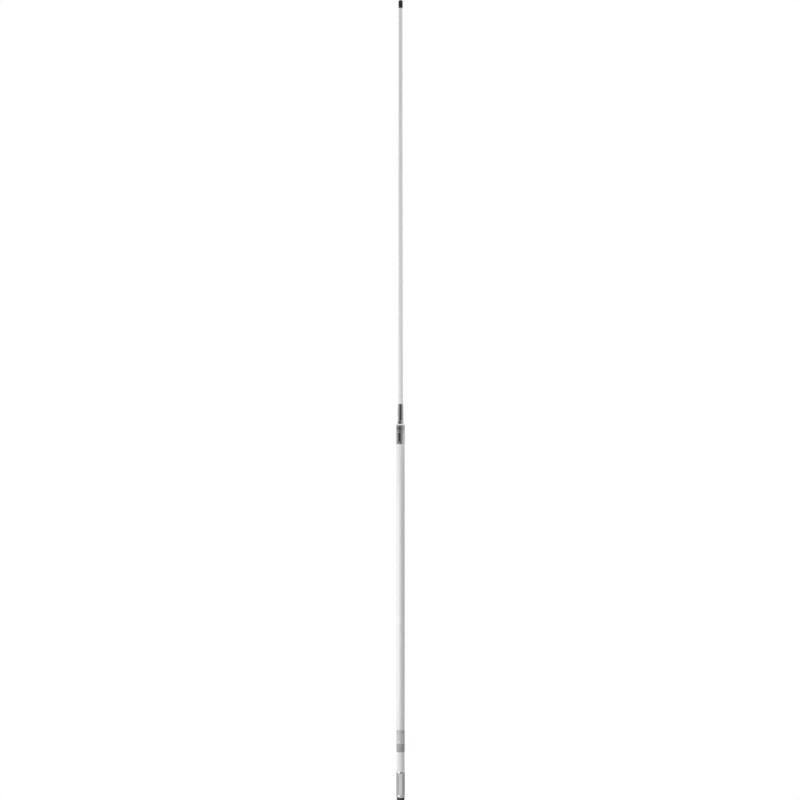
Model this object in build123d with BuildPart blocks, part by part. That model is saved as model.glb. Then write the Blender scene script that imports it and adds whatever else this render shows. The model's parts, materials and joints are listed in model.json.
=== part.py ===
from build123d import *
import os
from math import radians, tan

# Two-section omnidirectional whip antenna, 2.9 m tall, for a 1 in-14 threaded mount.
#
# A stout fibreglass mast stands in a steel base ferrule. A slim tapered fibreglass whip plugs
# into its top, and a captive coupling nut screws the two together. Inside are the feed cable,
# a quarter-wave decoupling sleeve, a quarter-wave radiator, a phasing coil and a half-wave
# radiator, all held on the centre line by foam spacers.
#
# Millimetres. Z runs up the antenna, and Z = 0 is the bottom face, which meets the mount.

os.makedirs("parts", exist_ok=True)

# ---- Driving dimensions ----
total_height = 2896.0  # 9 ft 6 in
ferrule_r = 15.875  # 1 1/4 in across, both big ferrules and the coupling nut
mast_r = 15.0
mast_bore_r = 12.0
joint_z = 1331.0  # where the coupling nut meets the mast ferrule

quarter_wave = 478.0  # at 156.8 MHz, mid marine band
half_wave = 2 * quarter_wave

# Mount thread, 1 in-14 UNS, drawn as a plain bore at its minor diameter
mount_thread_r = 11.8
mount_thread_length = 24.0

# Coupling thread, M27 x 2, ten turns from tight to free
pitch = 2.0
male_core_r = 12.27
male_crest_r = 13.4
female_core_r = 13.6
female_crest_r = 12.5
thread_bite = 0.15  # how far a ridge is sunk into the wall that carries it

# Feed cable, 6.1 mm coax
core_r = 0.7
dielectric_r = 1.95
braid_r = 2.35
jacket_r = 3.05

radiator_r = 3.0
pin_r = 2.0

rim_chamfer = 0.5  # on the outer rims of the big fittings


# ---- Shared forms ----
def turn(*corners, mode=Mode.ADD):
    """Revolve a closed half-section, given as (radius, height) corners, about Z."""
    with BuildSketch(Plane.XZ) as half_section:
        with BuildLine():
            Polyline(*corners, close=True)
        make_face()
    revolve(half_section.sketch, axis=Axis.Z, mode=mode)


def tube(outer_r, bottom, top, bore_r=0.0, mode=Mode.ADD):
    """A round bar or tube on the axis, between two heights."""
    with BuildSketch(Plane.XY.offset(bottom)) as ring:
        Circle(outer_r)
        if bore_r:
            Circle(bore_r, mode=Mode.SUBTRACT)
    extrude(ring.sketch, amount=top - bottom, mode=mode)


def bore(hole_r, bottom, top):
    """A plain hole on the axis, between two heights."""
    tube(hole_r, bottom, top, mode=Mode.SUBTRACT)


def o_ring(ring_r, section_r, height):
    """A round-section seal ring on the axis."""
    with BuildSketch(Plane.XZ) as section:
        with Locations((ring_r, height)):
            Circle(section_r)
    revolve(section.sketch, axis=Axis.Z)


def thread_ridge(root_r, crest_r, crest_width, bottom, length):
    """A right-handed 60 degree ridge, from the wall at root_r out or in to crest_r."""
    depth = crest_r - root_r
    half_crest = crest_width / 2
    half_root = half_crest + abs(depth) * tan(radians(30))
    with BuildLine() as path:
        Helix(pitch, length, root_r, center=(0, 0, bottom))
    start = Plane(origin=path.line @ 0, x_dir=(1, 0, 0), z_dir=path.line % 0)
    with BuildSketch(start) as tooth:
        with BuildLine():
            Polyline((0, -half_root), (depth, -half_crest), (depth, half_crest), (0, half_root), close=True)
        make_face()
    sweep(tooth.sketch, path=path.line, is_frenet=True)


def save(piece, name):
    """Label a finished piece and write its STEP file."""
    piece.part.label = name
    export_step(piece.part, f"parts/{name}.step")


# ---- Base: nylon insert, steel ferrule, pins ----
foot_r = 14.0
foot_height = 10.0
chamber_r = 12.9
web_bottom = 44.0
web_top = 50.0
mast_bottom = 58.0
insert_top = 66.0
insert_well_r = 10.8
jack_hole_r = 7.9
base_ferrule_top = 103.0
crimp_z = 20.0
crimp_depth = 0.8
crimp_half_width = 4.5
crimp_half_floor = 2.0
ferrule_taper = 4.0
taper_lip = 0.3  # wall left at the thin end of a tapered ferrule

with BuildPart() as base_insert:
    turn(
        (0, 0),
        (foot_r, 0),
        (foot_r, foot_height),
        (mast_r, foot_height),
        (mast_r, crimp_z - crimp_half_width),
        (mast_r - crimp_depth, crimp_z - crimp_half_floor),
        (mast_r - crimp_depth, crimp_z + crimp_half_floor),
        (mast_r, crimp_z + crimp_half_width),
        (mast_r, mast_bottom),
        (mast_bore_r, mast_bottom),
        (mast_bore_r, insert_top),
        (0, insert_top),
    )
    bore(mount_thread_r, 0, mount_thread_length)
    bore(chamber_r, mount_thread_length, web_bottom)
    bore(jack_hole_r, web_bottom, web_top)
    bore(insert_well_r, web_top, insert_top)
    bottom_rims = edges().filter_by(GeomType.CIRCLE).group_by(Axis.Z)[0]
    chamfer(bottom_rims, rim_chamfer)
save(base_insert, "base_insert")

# Four steel pins go through the ferrule and the mast's wall.
pin_z = 86.0
pin_count = 4
ferrule_pin_r = 1.5
pin_head_proud = 0.25
pin_chamfer = 0.2
with BuildPart() as ferrule_pins:
    with PolarLocations(0, pin_count, start_angle=45):
        with Locations(Location((mast_bore_r, 0, pin_z), (0, 90, 0))):
            Cylinder(
                ferrule_pin_r,
                ferrule_r + pin_head_proud - mast_bore_r,
                align=(Align.CENTER, Align.CENTER, Align.MIN),
            )
    rims = edges().filter_by(GeomType.CIRCLE).sort_by_distance((0, 0, pin_z))
    chamfer(rims[-pin_count:], pin_chamfer)
save(ferrule_pins, "ferrule_pins")

with BuildPart() as base_ferrule:
    turn(
        (mast_r, foot_height),
        (ferrule_r - rim_chamfer, foot_height),
        (ferrule_r, foot_height + rim_chamfer),
        (ferrule_r, crimp_z - crimp_half_width),
        (ferrule_r - crimp_depth, crimp_z - crimp_half_floor),
        (ferrule_r - crimp_depth, crimp_z + crimp_half_floor),
        (ferrule_r, crimp_z + crimp_half_width),
        (ferrule_r, base_ferrule_top - ferrule_taper),
        (mast_r + taper_lip, base_ferrule_top),
        (mast_r, base_ferrule_top),
        (mast_r, crimp_z + crimp_half_width),
        (mast_r - crimp_depth, crimp_z + crimp_half_floor),
        (mast_r - crimp_depth, crimp_z - crimp_half_floor),
        (mast_r, crimp_z - crimp_half_width),
    )
    add(ferrule_pins.part, mode=Mode.SUBTRACT)
save(base_ferrule, "base_ferrule")

# ---- Base: bulkhead jack for the cable's plug, facing down the mount bore ----
jack_mouth = 30.0
jack_bore_r = 6.5
jack_insulator_r = 5.5
jack_flange_r = 10.5
jack_flange_top = web_top + 3.0
jack_boss_r = 3.6
jack_boss_top = 60.0
jack_insulator_bottom = 36.0
jack_insulator_top = 52.0
jack_contact_r = 2.7
jack_contact_bottom = 33.0
jack_contact_bore_depth = 12.0
solder_cup_depth = 4.0
jack_mouth_chamfer = 0.6
key_width = 1.4
key_depth = 1.2
jack_slot_width = 0.5
jack_slot_depth = 4.0
jack_washer_thickness = 1.0
jack_washer_r = jack_hole_r + 2.2
washer_teeth = 12
tooth_gap_r = 0.5
jack_nut_thickness = 3.2
jack_nut_across_flats = 19.0

with BuildPart() as jack_shell:
    turn(
        (0, jack_mouth),
        (jack_hole_r, jack_mouth),
        (jack_hole_r, web_top),
        (jack_flange_r, web_top),
        (jack_flange_r, jack_flange_top),
        (jack_boss_r, jack_flange_top),
        (jack_boss_r, jack_boss_top),
        (0, jack_boss_top),
    )
    bore(jack_bore_r, jack_mouth, jack_insulator_bottom)
    bore(jack_insulator_r, jack_insulator_bottom, jack_insulator_top)
    bore(braid_r, jack_insulator_top, jack_boss_top)
    mouth_rims = edges().filter_by(GeomType.CIRCLE).group_by(Axis.Z)[0]
    chamfer(mouth_rims.sort_by(SortBy.RADIUS)[-1], jack_mouth_chamfer)
    # Four notches in the mouth key the plug's teeth.
    with Locations((0, 0, jack_mouth)):
        Box(2 * jack_hole_r, key_width, 2 * key_depth, mode=Mode.SUBTRACT)
        Box(key_width, 2 * jack_hole_r, 2 * key_depth, mode=Mode.SUBTRACT)
save(jack_shell, "jack_shell")

with BuildPart() as jack_insulator:
    tube(jack_insulator_r, jack_insulator_bottom, jack_insulator_top, jack_contact_r)
save(jack_insulator, "jack_insulator")

with BuildPart() as jack_contact:
    tube(jack_contact_r, jack_contact_bottom, jack_insulator_top)
    bore(pin_r, jack_contact_bottom, jack_contact_bottom + jack_contact_bore_depth)
    bore(core_r, jack_insulator_top - solder_cup_depth, jack_insulator_top)
    with Locations((0, 0, jack_contact_bottom)):
        Box(2 * jack_contact_r, jack_slot_width, 2 * jack_slot_depth, mode=Mode.SUBTRACT)
save(jack_contact, "jack_contact")

jack_nut_top = web_bottom - jack_washer_thickness
with BuildPart() as jack_washer:
    tube(jack_washer_r, jack_nut_top, web_bottom, jack_hole_r)
    with PolarLocations(jack_washer_r, washer_teeth):
        Cylinder(tooth_gap_r, 3 * web_bottom, mode=Mode.SUBTRACT)
save(jack_washer, "jack_washer")

with BuildPart() as jack_nut:
    with BuildSketch(Plane.XY.offset(jack_nut_top - jack_nut_thickness)):
        RegularPolygon(jack_nut_across_flats / 2, 6, major_radius=False)
        Circle(jack_hole_r, mode=Mode.SUBTRACT)
    extrude(amount=jack_nut_thickness)
save(jack_nut, "jack_nut")

# ---- Mast side of the joint: ferrule with the male neck, socket contact, seal ----
mast_ferrule_bottom = 1291.0
mast_ferrule_taper_top = 1302.0
mast_top = joint_z - 10.0
neck_top = joint_z + 20.0
socket_r = 9.0
socket_floor = joint_z + 2.0
boss_bottom = joint_z - 31.0
jacket_top = boss_bottom - 2.0
sleeve_r = 8.0
sleeve_bore_r = 7.5
sleeve_spigot_bottom = boss_bottom - 12.0
socket_insulator_r = 7.0
socket_insulator_bottom = joint_z - 17.0
contact_r = 2.9
contact_bottom = socket_insulator_bottom + 1.0
contact_fit = 0.03  # radial clearance of the plug pin
core_seat = 3.0  # how far the cable's core goes into the contact
braid_seat = 2.0  # bare braid, soldered into the ferrule
contact_slot_width = 0.4
contact_slot_depth = 10.0
relief_top = joint_z + 3.0
relief_r = 12.2
neck_chamfer = 1.0
split_gap = 0.2  # half the parting line between ferrule and nut
male_thread_bottom = joint_z + 4.0
male_thread_length = 14.5
male_crest_width = 0.25

with BuildPart() as mast_ferrule:
    turn(
        (mast_r, mast_ferrule_bottom),
        (mast_r + taper_lip, mast_ferrule_bottom),
        (ferrule_r, mast_ferrule_taper_top),
        (ferrule_r, joint_z - split_gap - rim_chamfer),
        (ferrule_r - rim_chamfer, joint_z - split_gap),
        (relief_r, joint_z - split_gap),
        (relief_r, relief_top),
        (male_core_r, relief_top),
        (male_core_r, neck_top - neck_chamfer),
        (male_core_r - neck_chamfer, neck_top),
        (0, neck_top),
        (0, sleeve_spigot_bottom),
        (sleeve_bore_r, sleeve_spigot_bottom),
        (sleeve_bore_r, boss_bottom),
        (mast_bore_r, boss_bottom),
        (mast_bore_r, mast_top),
        (mast_r, mast_top),
    )
    thread_ridge(
        male_core_r - thread_bite,
        male_crest_r,
        male_crest_width,
        male_thread_bottom,
        male_thread_length,
    )
    bore(socket_r, socket_floor, neck_top)
    bore(socket_insulator_r, socket_insulator_bottom, socket_floor)
    bore(braid_r, jacket_top, socket_insulator_bottom)
    bore(jacket_r, sleeve_spigot_bottom, jacket_top)
save(mast_ferrule, "mast_ferrule")

with BuildPart() as socket_insulator:
    tube(socket_insulator_r, socket_insulator_bottom, socket_floor, contact_r)
save(socket_insulator, "socket_insulator")

with BuildPart() as socket_contact:
    tube(contact_r, contact_bottom, socket_floor)
    bore(pin_r + contact_fit, contact_bottom + solder_cup_depth, socket_floor)
    bore(core_r, contact_bottom, contact_bottom + core_seat)
    with Locations((0, 0, socket_floor)):
        Box(2 * contact_r, contact_slot_width, 2 * contact_slot_depth, mode=Mode.SUBTRACT)
        Box(contact_slot_width, 2 * contact_r, 2 * contact_slot_depth, mode=Mode.SUBTRACT)
save(socket_contact, "socket_contact")

seal_section_r = 1.2
with BuildPart() as neck_seal:
    o_ring(relief_r + seal_section_r, seal_section_r, joint_z + seal_section_r)
save(neck_seal, "neck_seal")

# ---- Mast: tube, label, cable, decoupling sleeve, spacers ----
label_bottom = 174.0
label_top = 255.0
label_thickness = 0.18
sleeve_bottom = boss_bottom - quarter_wave
bush_flange = 3.0  # its thickness
bush_flange_r = 9.0
bush_plug_depth = 9.0
spacer_thickness = 12.0
mast_spacer_bottoms = (150, 310, 470, 630, 790)
sleeve_spacer_bottoms = (900, 1030, 1160, 1260)

with BuildPart() as mast_tube:
    tube(mast_r, mast_bottom, mast_top, mast_bore_r)
    add(ferrule_pins.part, mode=Mode.SUBTRACT)
save(mast_tube, "mast_tube")

with BuildPart() as label_wrap:
    tube(mast_r + label_thickness, label_bottom, label_top, mast_r)
save(label_wrap, "label_wrap")

with BuildPart() as coax_core:
    tube(core_r, jack_insulator_top - solder_cup_depth, contact_bottom + core_seat)
save(coax_core, "coax_core")

with BuildPart() as coax_dielectric:
    tube(dielectric_r, jack_insulator_top, contact_bottom, core_r)
save(coax_dielectric, "coax_dielectric")

with BuildPart() as coax_braid:
    tube(braid_r, jack_insulator_top + braid_seat, socket_insulator_bottom - 1.0, dielectric_r)
save(coax_braid, "coax_braid")

with BuildPart() as coax_jacket:
    tube(jacket_r, jack_boss_top, jacket_top, braid_r)
save(coax_jacket, "coax_jacket")

with BuildPart() as decoupling_sleeve:
    tube(sleeve_r, sleeve_bottom, boss_bottom, sleeve_bore_r)
save(decoupling_sleeve, "decoupling_sleeve")

with BuildPart() as sleeve_bush:
    turn(
        (jacket_r, sleeve_bottom - bush_flange),
        (bush_flange_r, sleeve_bottom - bush_flange),
        (bush_flange_r, sleeve_bottom),
        (sleeve_bore_r, sleeve_bottom),
        (sleeve_bore_r, sleeve_bottom + bush_plug_depth),
        (jacket_r, sleeve_bottom + bush_plug_depth),
    )
save(sleeve_bush, "sleeve_bush")

with BuildPart() as mast_spacers:
    for height in mast_spacer_bottoms:
        tube(mast_bore_r, height, height + spacer_thickness, jacket_r)
save(mast_spacers, "mast_spacers")

with BuildPart() as sleeve_spacers:
    for height in sleeve_spacer_bottoms:
        tube(mast_bore_r, height, height + spacer_thickness, sleeve_r)
save(sleeve_spacers, "sleeve_spacers")

# ---- Coupling nut: captive on the whip ferrule's spigot ----
nut_bottom = joint_z + split_gap
nut_shoulder_z = joint_z + 30.0
nut_shoulder_height = 3.5
nut_shoulder_width = 2.5
nut_top = joint_z + 42.0
nut_neck_r = 11.4
nut_bore_r = 8.15
nut_seal_r = 14.9
nut_seal_top = joint_z + 2.8
nut_chamber_r = 10.6
nut_chamber_bottom = neck_top + 0.5
nut_chamber_top = neck_top + 5.7
knurl_bottom = joint_z + 6.0
knurl_top = joint_z + 24.0
knurl_depth = 0.45
knurl_teeth = 60
nut_groove_depth = 0.6
nut_groove_half_width = 0.6
nut_top_chamfer = 0.6
female_thread_bottom = joint_z + 5.0
female_thread_length = 14.0
female_crest_width = 0.5

with BuildPart() as coupling_nut:
    turn(
        (nut_seal_r, nut_bottom),
        (ferrule_r - rim_chamfer, nut_bottom),
        (ferrule_r, nut_bottom + rim_chamfer),
        (ferrule_r, nut_shoulder_z - nut_shoulder_height),
        (ferrule_r - nut_shoulder_width, nut_shoulder_z),
        (nut_neck_r, nut_shoulder_z),
        (nut_neck_r, nut_top - nut_top_chamfer),
        (nut_neck_r - nut_top_chamfer, nut_top),
        (nut_bore_r, nut_top),
        (nut_bore_r, nut_chamber_top),
        (nut_chamber_r, nut_chamber_top),
        (nut_chamber_r, nut_chamber_bottom),
        (female_core_r, nut_chamber_bottom),
        (female_core_r, nut_seal_top),
        (nut_seal_r, nut_seal_top),
    )
    thread_ridge(
        female_core_r + thread_bite,
        female_crest_r,
        female_crest_width,
        female_thread_bottom,
        female_thread_length,
    )
    # Straight knurl for the fingers, between two turned grooves.
    with BuildSketch(Plane.XY.offset(knurl_bottom)):
        with PolarLocations(ferrule_r, knurl_teeth):
            Rectangle(2 * knurl_depth, 2 * knurl_depth, rotation=45)
    extrude(amount=knurl_top - knurl_bottom, mode=Mode.SUBTRACT)
    for groove_z in (knurl_bottom, knurl_top):
        tube(
            ferrule_r + nut_groove_depth,
            groove_z - nut_groove_half_width,
            groove_z + nut_groove_half_width,
            ferrule_r - nut_groove_depth,
            mode=Mode.SUBTRACT,
        )
save(coupling_nut, "coupling_nut")

# ---- Whip side of the joint: ferrule, plug, seal ----
whip_ferrule_bottom = nut_top + 1.0
whip_ferrule_top = joint_z + 104.0
whip_ferrule_foot_r = 11.3
whip_ferrule_head_r = 9.75
spigot_r = 8.0
foot_chamfer = 0.4
head_chamfer = 0.8
head_lip = 0.4
plug_stud_r = 5.5
flange_r = 10.3
flange_bottom = neck_top + 0.05
flange_top = neck_top + 4.5
washer_bottom = flange_top + 0.1
washer_top = nut_chamber_top - 0.1
plug_r = 8.95
plug_nose_chamfer = 0.5
plug_bottom = socket_floor + 1.0
plug_stud_top = joint_z + 35.0
plug_insulator_r = 6.5
plug_insulator_bottom = plug_bottom + 3.0
plug_insulator_top = neck_top - 2.0
stem_r = 3.2
stem_top = plug_stud_top + 2.0
seal_groove_bottom = joint_z + 12.0
seal_groove_top = joint_z + 14.6
seal_groove_r = 7.45
plug_seal_section_r = 0.74
pin_bottom = joint_z - 10.0
pin_top = joint_z + 47.0
pin_nose_r = 1.2
whip_seat = joint_z + 62.0
whip_base_r = 8.6
flat_bottom = whip_ferrule_bottom + 4.0
flat_top = flat_bottom + 12.0
half_across_flats = 10.0

with BuildPart() as whip_ferrule:
    turn(
        (plug_stud_r, flange_top),
        (spigot_r, flange_top),
        (spigot_r, whip_ferrule_bottom),
        (whip_ferrule_foot_r - foot_chamfer, whip_ferrule_bottom),
        (whip_ferrule_foot_r, whip_ferrule_bottom + foot_chamfer),
        (whip_ferrule_head_r, whip_ferrule_top - head_chamfer),
        (whip_base_r + head_lip, whip_ferrule_top),
        (whip_base_r, whip_ferrule_top),
        (whip_base_r, whip_seat),
        (plug_stud_r, whip_seat),
    )
    # Two wrench flats hold the whip still while the nut turns.
    flat_depth = whip_ferrule_foot_r - half_across_flats
    for side in (-1, 1):
        with BuildSketch(Plane.XY.offset(flat_bottom)):
            with Locations((side * (half_across_flats + flat_depth), 0)):
                Rectangle(2 * flat_depth, 2 * whip_ferrule_foot_r)
        extrude(amount=flat_top - flat_bottom, mode=Mode.SUBTRACT)
save(whip_ferrule, "whip_ferrule")

with BuildPart() as plug_shell:
    turn(
        (plug_insulator_r, plug_bottom),
        (plug_r - plug_nose_chamfer, plug_bottom),
        (plug_r, plug_bottom + plug_nose_chamfer),
        (plug_r, seal_groove_bottom),
        (seal_groove_r, seal_groove_bottom),
        (seal_groove_r, seal_groove_top),
        (plug_r, seal_groove_top),
        (plug_r, flange_bottom),
        (flange_r, flange_bottom),
        (flange_r, flange_top),
        (plug_stud_r, flange_top),
        (plug_stud_r, plug_stud_top),
        (stem_r, plug_stud_top),
        (stem_r, plug_insulator_top),
        (plug_insulator_r, plug_insulator_top),
    )
save(plug_shell, "plug_shell")

with BuildPart() as plug_insulator:
    turn(
        (pin_r, plug_insulator_bottom),
        (plug_insulator_r, plug_insulator_bottom),
        (plug_insulator_r, plug_insulator_top),
        (stem_r, plug_insulator_top),
        (stem_r, stem_top),
        (pin_r, stem_top),
    )
save(plug_insulator, "plug_insulator")

with BuildPart() as plug_pin:
    tube(pin_r, pin_bottom, pin_top)
    fillet(edges().group_by(Axis.Z)[0], pin_nose_r)
save(plug_pin, "plug_pin")

with BuildPart() as plug_seal:
    seal_z = (seal_groove_bottom + seal_groove_top) / 2
    o_ring(seal_groove_r + plug_seal_section_r, plug_seal_section_r, seal_z)
save(plug_seal, "plug_seal")

with BuildPart() as slip_washer:
    tube(nut_chamber_r - 0.3, washer_bottom, washer_top, spigot_r)
save(slip_washer, "slip_washer")

# ---- Whip: tapered tube, radiators, phasing coil, spacers, cap ----
whip_top = total_height - 12.0
taper_start = whip_ferrule_top + 5.0
whip_tip_r = 7.0
whip_base_bore_r = 6.4
whip_tip_bore_r = 4.8
lower_radiator_bottom = joint_z + 39.0
coil_bottom = lower_radiator_bottom + quarter_wave
coil_height = 44.0
coil_cheek = 8.0
rod_seat = 6.0
former_r = 3.6
cheek_r = 5.6
wire_r = 0.6
coil_pitch = 2.2
coil_gap = 0.2  # between the winding's ends and the former's cheeks
coil_lift = 0.05  # between the wire and the former
upper_radiator_bottom = coil_bottom + coil_height - rod_seat
cap_skirt_bottom = total_height - 29.0
cap_r = 7.9
cap_bead_height = 3.0
cap_bead_proud = 0.3
cap_bead_slope = 0.6
cap_stretch = 0.06  # clearance that follows the whip's taper
whip_spacer_bottoms = (1470, 1590, 1710, 1990, 2150, 2310, 2470, 2630, 2790)
cap_dome_r = 6.6


def whip_bore_r(height):
    """Bore radius of the tapered whip tube at a height."""
    share = (height - taper_start) / (whip_top - taper_start)
    return whip_base_bore_r + (whip_tip_bore_r - whip_base_bore_r) * max(0.0, share)


with BuildPart() as whip_tube:
    turn(
        (whip_base_bore_r, whip_seat),
        (whip_base_r, whip_seat),
        (whip_base_r, taper_start),
        (whip_tip_r, whip_top),
        (whip_tip_bore_r, whip_top),
        (whip_base_bore_r, taper_start),
    )
save(whip_tube, "whip_tube")

with BuildPart() as lower_radiator:
    tube(radiator_r, lower_radiator_bottom, coil_bottom + rod_seat)
    bore(pin_r, lower_radiator_bottom, pin_top)
save(lower_radiator, "lower_radiator")

with BuildPart() as coil_former:
    coil_top = coil_bottom + coil_height
    tube(former_r, coil_bottom, coil_top)
    tube(cheek_r, coil_bottom, coil_bottom + coil_cheek)
    tube(cheek_r, coil_top - coil_cheek, coil_top)
    bore(radiator_r, coil_bottom, coil_bottom + rod_seat)
    bore(radiator_r, coil_top - rod_seat, coil_top)
save(coil_former, "coil_former")

with BuildPart() as phasing_coil:
    with BuildLine() as winding:
        Helix(
            coil_pitch,
            coil_height - 2 * (coil_cheek + wire_r + coil_gap),
            former_r + wire_r + coil_lift,
            center=(0, 0, coil_bottom + coil_cheek + wire_r + coil_gap),
        )
    with BuildSketch(Plane(origin=winding.line @ 0, z_dir=winding.line % 0)):
        Circle(wire_r)
    sweep(path=winding.line, is_frenet=True)
save(phasing_coil, "phasing_coil")

with BuildPart() as upper_radiator:
    tube(radiator_r, upper_radiator_bottom, upper_radiator_bottom + half_wave)
save(upper_radiator, "upper_radiator")

with BuildPart() as whip_spacers:
    for height in whip_spacer_bottoms:
        spacer_top = height + spacer_thickness
        tube(whip_bore_r(spacer_top), height, spacer_top, radiator_r)
save(whip_spacers, "whip_spacers")

with BuildPart() as tip_cap:
    turn(
        (0, whip_top),
        (whip_tip_r, whip_top),
        (whip_tip_r + cap_stretch, cap_skirt_bottom),
        (cap_r, cap_skirt_bottom),
        (cap_r, cap_skirt_bottom + cap_bead_height),
        (cap_r - cap_bead_proud, cap_skirt_bottom + cap_bead_height + cap_bead_slope),
        (cap_r - cap_bead_proud, total_height),
        (0, total_height),
    )
    fillet(edges().filter_by(GeomType.CIRCLE).group_by(Axis.Z)[-1], cap_dome_r)
save(tip_cap, "tip_cap")
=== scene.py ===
import json
import math

import bmesh
import bpy
from mathutils import Matrix, Vector


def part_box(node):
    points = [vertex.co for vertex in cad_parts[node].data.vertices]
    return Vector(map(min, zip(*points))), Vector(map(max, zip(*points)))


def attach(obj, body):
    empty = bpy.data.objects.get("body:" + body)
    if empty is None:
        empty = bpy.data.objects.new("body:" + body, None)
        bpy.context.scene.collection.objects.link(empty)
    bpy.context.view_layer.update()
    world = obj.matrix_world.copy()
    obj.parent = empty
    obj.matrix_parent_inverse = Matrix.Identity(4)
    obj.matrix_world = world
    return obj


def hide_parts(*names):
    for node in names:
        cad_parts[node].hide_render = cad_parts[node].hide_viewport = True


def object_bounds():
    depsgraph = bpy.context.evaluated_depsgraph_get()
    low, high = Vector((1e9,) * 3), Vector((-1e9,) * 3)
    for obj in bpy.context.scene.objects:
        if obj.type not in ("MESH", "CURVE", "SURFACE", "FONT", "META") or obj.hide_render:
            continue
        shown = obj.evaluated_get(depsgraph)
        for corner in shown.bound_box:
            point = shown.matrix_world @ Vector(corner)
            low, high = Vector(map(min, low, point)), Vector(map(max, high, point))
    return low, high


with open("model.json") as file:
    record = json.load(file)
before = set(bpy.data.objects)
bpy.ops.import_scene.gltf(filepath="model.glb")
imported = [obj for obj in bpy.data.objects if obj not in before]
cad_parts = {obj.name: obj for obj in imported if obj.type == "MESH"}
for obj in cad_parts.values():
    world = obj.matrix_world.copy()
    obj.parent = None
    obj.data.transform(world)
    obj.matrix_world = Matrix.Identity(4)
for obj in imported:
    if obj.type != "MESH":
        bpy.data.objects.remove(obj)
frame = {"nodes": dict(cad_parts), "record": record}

cad_low, cad_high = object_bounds()


# ---- Base insert ----
# A black glass-filled nylon plug, moulded and then bored, that closes the foot of the mast.
# It is bonded inside the steel ferrule, its foot shows under it, and a 1 in-14 thread is cut
# up the middle for the mount. A web above the thread carries the cable jack.
mm = 0.001                           # lengths are in millimetres until a mesh is made
sides = 180                          # how many sides stand in for round


def eased(corners, ease, closed):
    """Swap the sharp corners of an outline for small curves. Gives (radius, height, wear)."""
    curve_steps = 4
    hold = 0.3
    points = []
    for i, corner in enumerate(corners):
        here = Vector(corner[:2])
        reach = corner[2] if len(corner) > 2 else ease
        at_an_end = not closed and i in (0, len(corners) - 1)
        if reach == 0 or here.x == 0 or at_an_end:
            points.append((here.x, here.y, 0.0))
            continue
        back = Vector(corners[i - 1][:2]) - here
        ahead = Vector(corners[(i + 1) % len(corners)][:2]) - here
        start_reach = min(reach, 0.45 * back.length)
        end_reach = min(reach, 0.45 * ahead.length)
        start = here + back.normalized() * start_reach
        end = here + ahead.normalized() * end_reach
        stands_out = back.x * ahead.y - back.y * ahead.x < 0
        # A ring just off each end of the curve keeps a long wall looking flat.
        if back.length > 4 * (start_reach + hold):
            point = start + back.normalized() * hold
            points.append((point.x, point.y, 0.0))
        for step in range(curve_steps + 1):
            t = step / curve_steps
            point = start.lerp(here, t).lerp(here.lerp(end, t), t)
            wear = 1 - abs(2 * t - 1) if stands_out else 0.0
            points.append((point.x, point.y, wear))
        if ahead.length > 4 * (end_reach + hold):
            point = end + ahead.normalized() * hold
            points.append((point.x, point.y, 0.0))
    return points


def thread_skin(mesh, wear_of, wall, crest, pitch, low, high, crest_height, flat, round_by):
    """Cut a right-handed 60 degree thread in a round wall, from one flat rim to another.

    crest_height is any height where a crest passes angle zero, and flat is the crest's width.
    """
    depth = crest - wall
    flank = abs(depth) * math.tan(math.radians(60 / 2))
    half = flat / 2
    tooth = [(-half - flank, 0.0), (-half, 1.0), (half, 1.0), (half + flank, 0.0)]
    first = crest_height - pitch * math.ceil((crest_height - low) / pitch + 1.5)
    turns = math.ceil((high - first) / pitch + 1)
    fade_length = 0.6 * pitch
    rows = []
    for turn in range(turns + 1):
        for offset, share in tooth:
            row = []
            for side in range(round_by):
                height = first + offset + pitch * (turn + side / round_by)
                height = min(max(height, low), high)
                fade = min(1, (height - low) / fade_length, (high - height) / fade_length)
                radius = wall + depth * share * fade
                angle = math.tau * side / round_by
                x, y = radius * math.cos(angle), radius * math.sin(angle)
                vert = mesh.verts.new((x * mm, y * mm, height * mm))
                vert[wear_of] = share * fade
                row.append(vert)
            rows.append(row)
    last = len(rows) - 1
    for i in range(last):
        for side in range(round_by):
            if side + 1 < round_by:
                far = rows[i][side + 1], rows[i + 1][side + 1]
            else:
                # A turn on, the row has risen by a pitch, so it meets the next tooth's row.
                far = rows[min(i + len(tooth), last)][0], rows[min(i + 1 + len(tooth), last)][0]
            near = rows[i][side], rows[i + 1][side]
            cut_off = all(abs(v.co.z - near[0].co.z) < 1e-9 for v in (*far, near[1]))
            if not cut_off:
                corners = [near[0], far[0], far[1], near[1]]
                mesh.faces.new([v for k, v in enumerate(corners) if v is not corners[k - 1]])


def turned(name, corners, ease=0.2, shape=None, thread=None, round_by=sides):
    """Turn an outline of (radius, height) corners in millimetres into a lathe-made piece.

    shape(radius, height, angle) may change a point's radius, for flats and knurls. With a
    thread, the outline is open, and the thread's wall joins its last corner to its first.
    """
    mesh = bmesh.new()
    wear_of = mesh.verts.layers.float.new("wear")
    rings = []
    for radius, height, wear in eased(corners, ease, thread is None):
        ring = []
        for side in range(round_by if radius else 1):
            angle = math.tau * side / round_by
            r = shape(radius, height, angle) if shape else radius
            x, y = r * math.cos(angle), r * math.sin(angle)
            vert = mesh.verts.new((x * mm, y * mm, height * mm))
            vert[wear_of] = wear
            ring.append(vert)
        rings.append(ring)
    if thread is None:
        rings.append(rings[0])
    for near, far in zip(rings, rings[1:]):
        for side in range(round_by):
            panel = [
                near[side % len(near)],
                near[(side + 1) % len(near)],
                far[(side + 1) % len(far)],
                far[side % len(far)],
            ]
            distinct = list(dict.fromkeys(panel))
            if len(distinct) > 2:
                mesh.faces.new(distinct)
    if thread:
        thread_skin(mesh, wear_of, *thread, round_by)
    return finished_mesh(name, mesh)


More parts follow.
